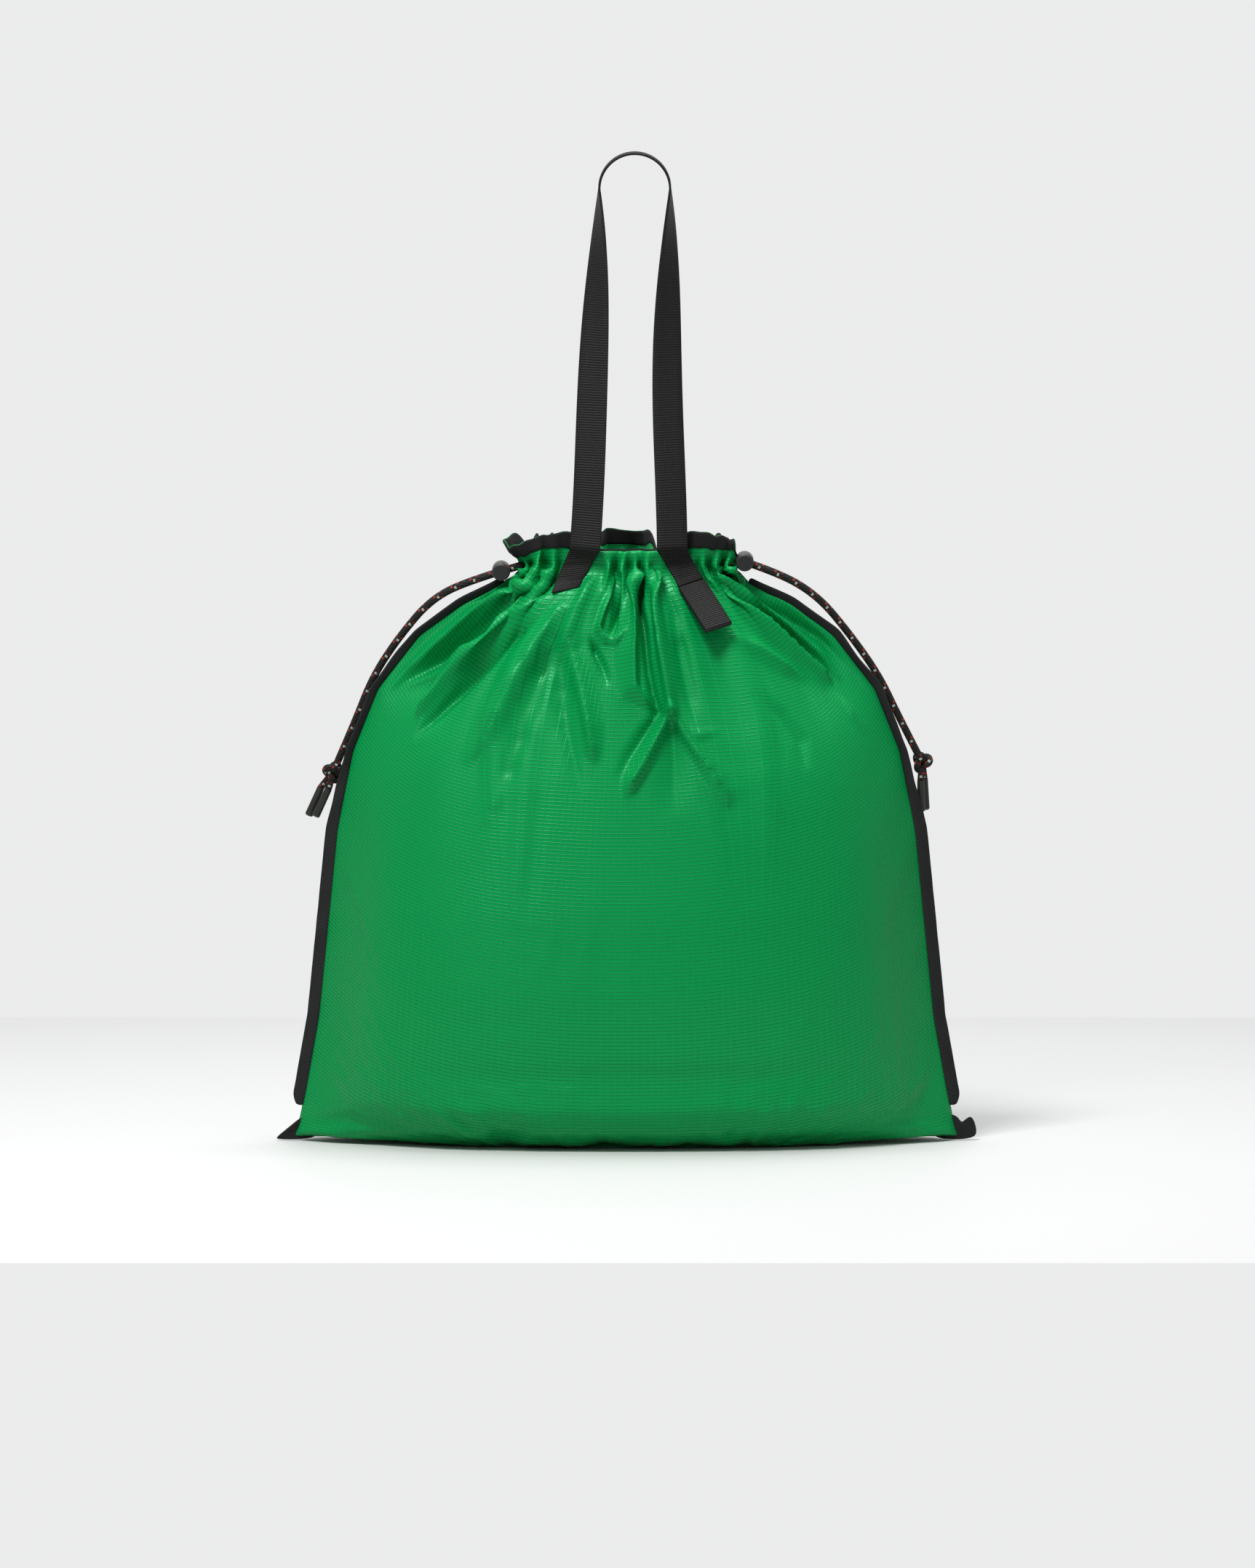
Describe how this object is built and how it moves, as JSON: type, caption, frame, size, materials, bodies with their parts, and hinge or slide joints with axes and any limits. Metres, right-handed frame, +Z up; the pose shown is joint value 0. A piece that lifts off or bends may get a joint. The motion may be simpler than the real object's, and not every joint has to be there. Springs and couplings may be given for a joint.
{
  "type": "drawstring storage bag",
  "caption": "Soft ripstop drawstring bag with cinched mouth, sprung cord locks on doubled drawcords, bound side seams and a long webbing carrying loop.",
  "frame": {"origin": "on the floor under the middle of the standing bag", "axes": "+Z up, front with the strap towards -Y, +X to the right seen from the front"},
  "size_m": [0.45, 0.1862, 0.6348],
  "materials": {
    "ripstop": "satin woven ripstop cloth",
    "binding_tape": "dull woven tape",
    "channel_tape": "thin woven tape",
    "webbing": "ribbed webbing",
    "thread": "sewing thread",
    "cord": "braided cord with red and white flecks",
    "cord_end": "satin moulded plastic",
    "lock_barrel": "satin moulded plastic",
    "lock_button": "fine matt moulded plastic",
    "spring_steel": "bright drawn wire"
  },
  "bodies": {
    "bag": {"front_panel": "ripstop", "back_panel": "ripstop", "channel_tape_front": "channel_tape", "channel_tape_back": "channel_tape", "mouth_binding_front": "binding_tape", "mouth_binding_back": "binding_tape", "strap_stitching": "thread", "side_binding_left": "binding_tape", "corner_ear_left": "binding_tape", "strap_anchor_left": "webbing", "drawcord_left_channel": "cord", "drawcord_left_front": "cord", "drawcord_left_back": "cord", "drawcord_left_knot": "cord", "side_binding_right": "binding_tape", "corner_ear_right": "binding_tape", "strap_anchor_right": "webbing", "drawcord_right_channel": "cord", "drawcord_right_front": "cord", "drawcord_right_back": "cord", "drawcord_right_knot": "cord"},
    "strap": {"strap_loop": "webbing"},
    "tab": {"pull_tab": "webbing"},
    "left_lock": {"lock_body_left": "lock_barrel", "lock_spring_left": "spring_steel"},
    "left_button": {"lock_plunger_left": "lock_button"},
    "left_cord_ends": {"drawcord_left_tails": "cord", "cord_end_left_front": "cord_end", "cord_end_left_back": "cord_end"},
    "right_lock": {"lock_body_right": "lock_barrel", "lock_spring_right": "spring_steel"},
    "right_button": {"lock_plunger_right": "lock_button"},
    "right_cord_ends": {"drawcord_right_tails": "cord", "cord_end_right_front": "cord_end", "cord_end_right_back": "cord_end"}
  },
  "joints": [
    {"name": "strap_swing", "type": "hinge", "parent": "bag", "child": "strap", "pos_m": [0.0053, -0.0265, 0.3804], "axis": [1, 0, 0], "range_deg": [0, 110]},
    {"name": "tab_lift", "type": "hinge", "parent": "bag", "child": "tab", "pos_m": [0.0414, -0.02566, 0.3591], "axis": [-0.8351, -0.4999, -0.2297], "range_deg": [0, 45]},
    {"name": "left_lock_slide", "type": "slide", "parent": "bag", "child": "left_lock", "axis": [-0.9608, 0, -0.2772], "range_m": [0, 0.006]},
    {"name": "left_button_press", "type": "slide", "parent": "left_lock", "child": "left_button", "axis": [0, 1, 0], "range_m": [0, 0.003], "stiffness_N_per_m": 1200, "springref_m": -0.003, "deforming": ["lock_spring_left"]},
    {"name": "left_ends_swing", "type": "hinge", "parent": "bag", "child": "left_cord_ends", "pos_m": [-0.1875, 0.0086, 0.236], "axis": [0, 1, 0], "range_deg": [-6, 35]},
    {"name": "right_lock_slide", "type": "slide", "parent": "bag", "child": "right_lock", "axis": [0.9537, 0, -0.3007], "range_m": [0, 0.006]},
    {"name": "right_button_press", "type": "slide", "parent": "right_lock", "child": "right_button", "axis": [0, 1, 0], "range_m": [0, 0.003], "stiffness_N_per_m": 1200, "springref_m": -0.003, "deforming": ["lock_spring_right"]},
    {"name": "right_ends_swing", "type": "hinge", "parent": "bag", "child": "right_cord_ends", "pos_m": [0.189, 0.0086, 0.2425], "axis": [0, -1, 0], "range_deg": [-6, 35]}
  ]
}
